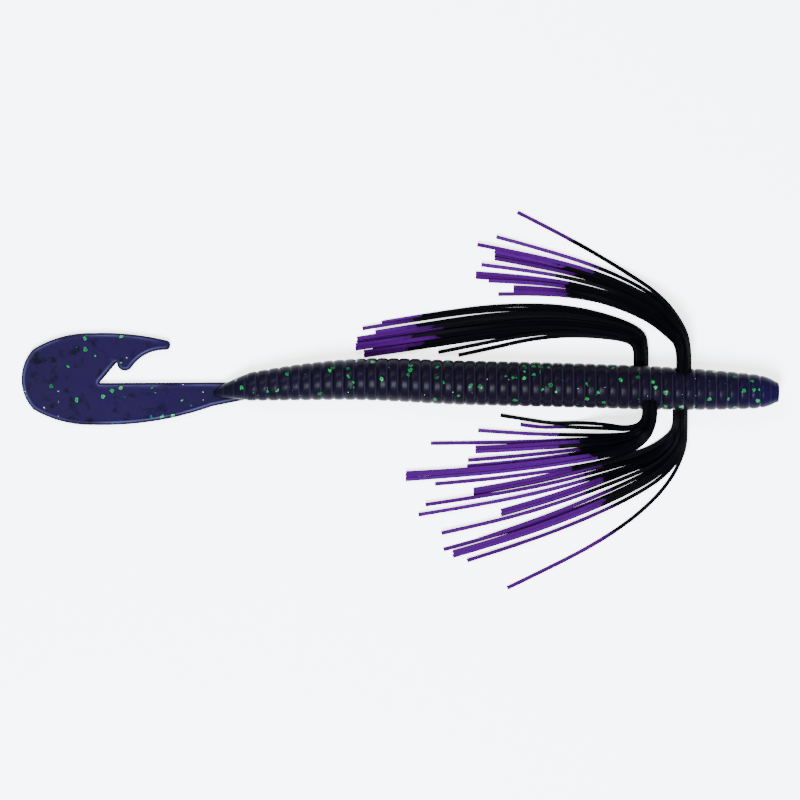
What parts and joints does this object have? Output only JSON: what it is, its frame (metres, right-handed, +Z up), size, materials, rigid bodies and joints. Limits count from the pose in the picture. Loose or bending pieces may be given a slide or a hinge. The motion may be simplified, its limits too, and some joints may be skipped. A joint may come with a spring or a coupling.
{
  "type": "soft plastic worm",
  "caption": "Ribbed soft plastic fishing worm with a flat hooked paddle tail and a skirt of two bundles of fine flat strands threaded crosswise near the nose, whose free ends make four tufts.",
  "frame": {"origin": "centre of the worm's own bounding box in plan, at the surface it lies on; the free skirt strands are left out of that box", "axes": "+X along the body towards the nose, +Z up away from the surface it lies on, +Y to the worm's left"},
  "size_m": [0.165, 0.0826, 0.0111],
  "materials": {
    "soft_body": "glossy black-violet soft plastic with green flake",
    "soft_tail": "glossy dark violet soft plastic with green flake",
    "skirt_strand": "satin silicone, black at the root and purple towards the tip"
  },
  "bodies": {
    "front_body": {"front_body": "soft_body", "strand_cores_front": "skirt_strand", "strand_cores_rear": "skirt_strand"},
    "mid_body_front": {"mid_body_front": "soft_body"},
    "mid_body_rear": {"mid_body_rear": "soft_body"},
    "rear_body": {"rear_body": "soft_body"},
    "tail_stem": {"tail_stem": "soft_tail"},
    "tail_paddle": {"tail_paddle": "soft_tail"},
    "tail_lobe": {"tail_lobe": "soft_tail"},
    "skirt_front_left": {"strand_front_left_01": "skirt_strand", "strand_front_left_02": "skirt_strand", "strand_front_left_03": "skirt_strand", "strand_front_left_04": "skirt_strand", "strand_front_left_05": "skirt_strand", "strand_front_left_06": "skirt_strand", "strand_front_left_07": "skirt_strand", "strand_front_left_08": "skirt_strand", "strand_front_left_09": "skirt_strand", "strand_front_left_10": "skirt_strand"},
    "skirt_rear_left": {"strand_rear_left_01": "skirt_strand", "strand_rear_left_02": "skirt_strand", "strand_rear_left_03": "skirt_strand", "strand_rear_left_04": "skirt_strand", "strand_rear_left_05": "skirt_strand", "strand_rear_left_06": "skirt_strand", "strand_rear_left_07": "skirt_strand", "strand_rear_left_08": "skirt_strand", "strand_rear_left_09": "skirt_strand", "strand_rear_left_10": "skirt_strand"},
    "skirt_front_right": {"strand_front_right_01": "skirt_strand", "strand_front_right_02": "skirt_strand", "strand_front_right_03": "skirt_strand", "strand_front_right_04": "skirt_strand", "strand_front_right_05": "skirt_strand", "strand_front_right_06": "skirt_strand", "strand_front_right_07": "skirt_strand", "strand_front_right_08": "skirt_strand", "strand_front_right_09": "skirt_strand", "strand_front_right_10": "skirt_strand"},
    "skirt_rear_right": {"strand_rear_right_01": "skirt_strand", "strand_rear_right_02": "skirt_strand", "strand_rear_right_03": "skirt_strand", "strand_rear_right_04": "skirt_strand", "strand_rear_right_05": "skirt_strand", "strand_rear_right_06": "skirt_strand", "strand_rear_right_07": "skirt_strand", "strand_rear_right_08": "skirt_strand", "strand_rear_right_09": "skirt_strand", "strand_rear_right_10": "skirt_strand"}
  },
  "joints": [
    {"name": "body_flex_front", "type": "hinge", "parent": "front_body", "child": "mid_body_front", "pos_m": [0.03774, -0.0014, 0.0049], "axis": [0, 1, 0], "range_deg": [-20, 20], "stiffness_Nm_per_rad": 0.03},
    {"name": "body_flex_middle", "type": "hinge", "parent": "mid_body_front", "child": "mid_body_rear", "pos_m": [0.01404, -0.00085, 0.0049], "axis": [0, 1, 0], "range_deg": [-20, 20], "stiffness_Nm_per_rad": 0.03},
    {"name": "body_flex_rear", "type": "hinge", "parent": "mid_body_rear", "child": "rear_body", "pos_m": [-0.00966, -0.00012, 0.00466], "axis": [0, 1, 0], "range_deg": [-20, 20], "stiffness_Nm_per_rad": 0.02},
    {"name": "tail_swing", "type": "hinge", "parent": "rear_body", "child": "tail_stem", "pos_m": [-0.0419, -0.0033, 0.001], "axis": [0, 1, 0], "range_deg": [-45, 60], "stiffness_Nm_per_rad": 0.002},
    {"name": "paddle_curl", "type": "hinge", "parent": "tail_stem", "child": "tail_paddle", "pos_m": [-0.0626, -0.0055, 0.001], "axis": [0, 1, 0], "range_deg": [-40, 40], "stiffness_Nm_per_rad": 0.001},
    {"name": "lobe_curl", "type": "hinge", "parent": "tail_paddle", "child": "tail_lobe", "pos_m": [-0.0626, 0.007, 0.001], "axis": [0, -1, 0], "range_deg": [-40, 50], "stiffness_Nm_per_rad": 0.0005},
    {"name": "skirt_front_left_lift", "type": "hinge", "parent": "front_body", "child": "skirt_front_left", "pos_m": [0.0611, 0.00279, 0.00914], "axis": [1, 0, 0], "range_deg": [0, 60], "stiffness_Nm_per_rad": 0.0004},
    {"name": "skirt_rear_left_lift", "type": "hinge", "parent": "front_body", "child": "skirt_rear_left", "pos_m": [0.0531, 0.00438, 0.00315], "axis": [1, 0, 0], "range_deg": [0, 60], "stiffness_Nm_per_rad": 0.0004},
    {"name": "skirt_front_right_lift", "type": "hinge", "parent": "front_body", "child": "skirt_front_right", "pos_m": [0.0611, -0.00848, 0.00315], "axis": [-1, 0, 0], "range_deg": [0, 30], "stiffness_Nm_per_rad": 0.0004},
    {"name": "skirt_rear_right_lift", "type": "hinge", "parent": "front_body", "child": "skirt_rear_right", "pos_m": [0.0531, -0.00689, 0.00914], "axis": [-1, 0, 0], "range_deg": [0, 60], "stiffness_Nm_per_rad": 0.0004}
  ]
}
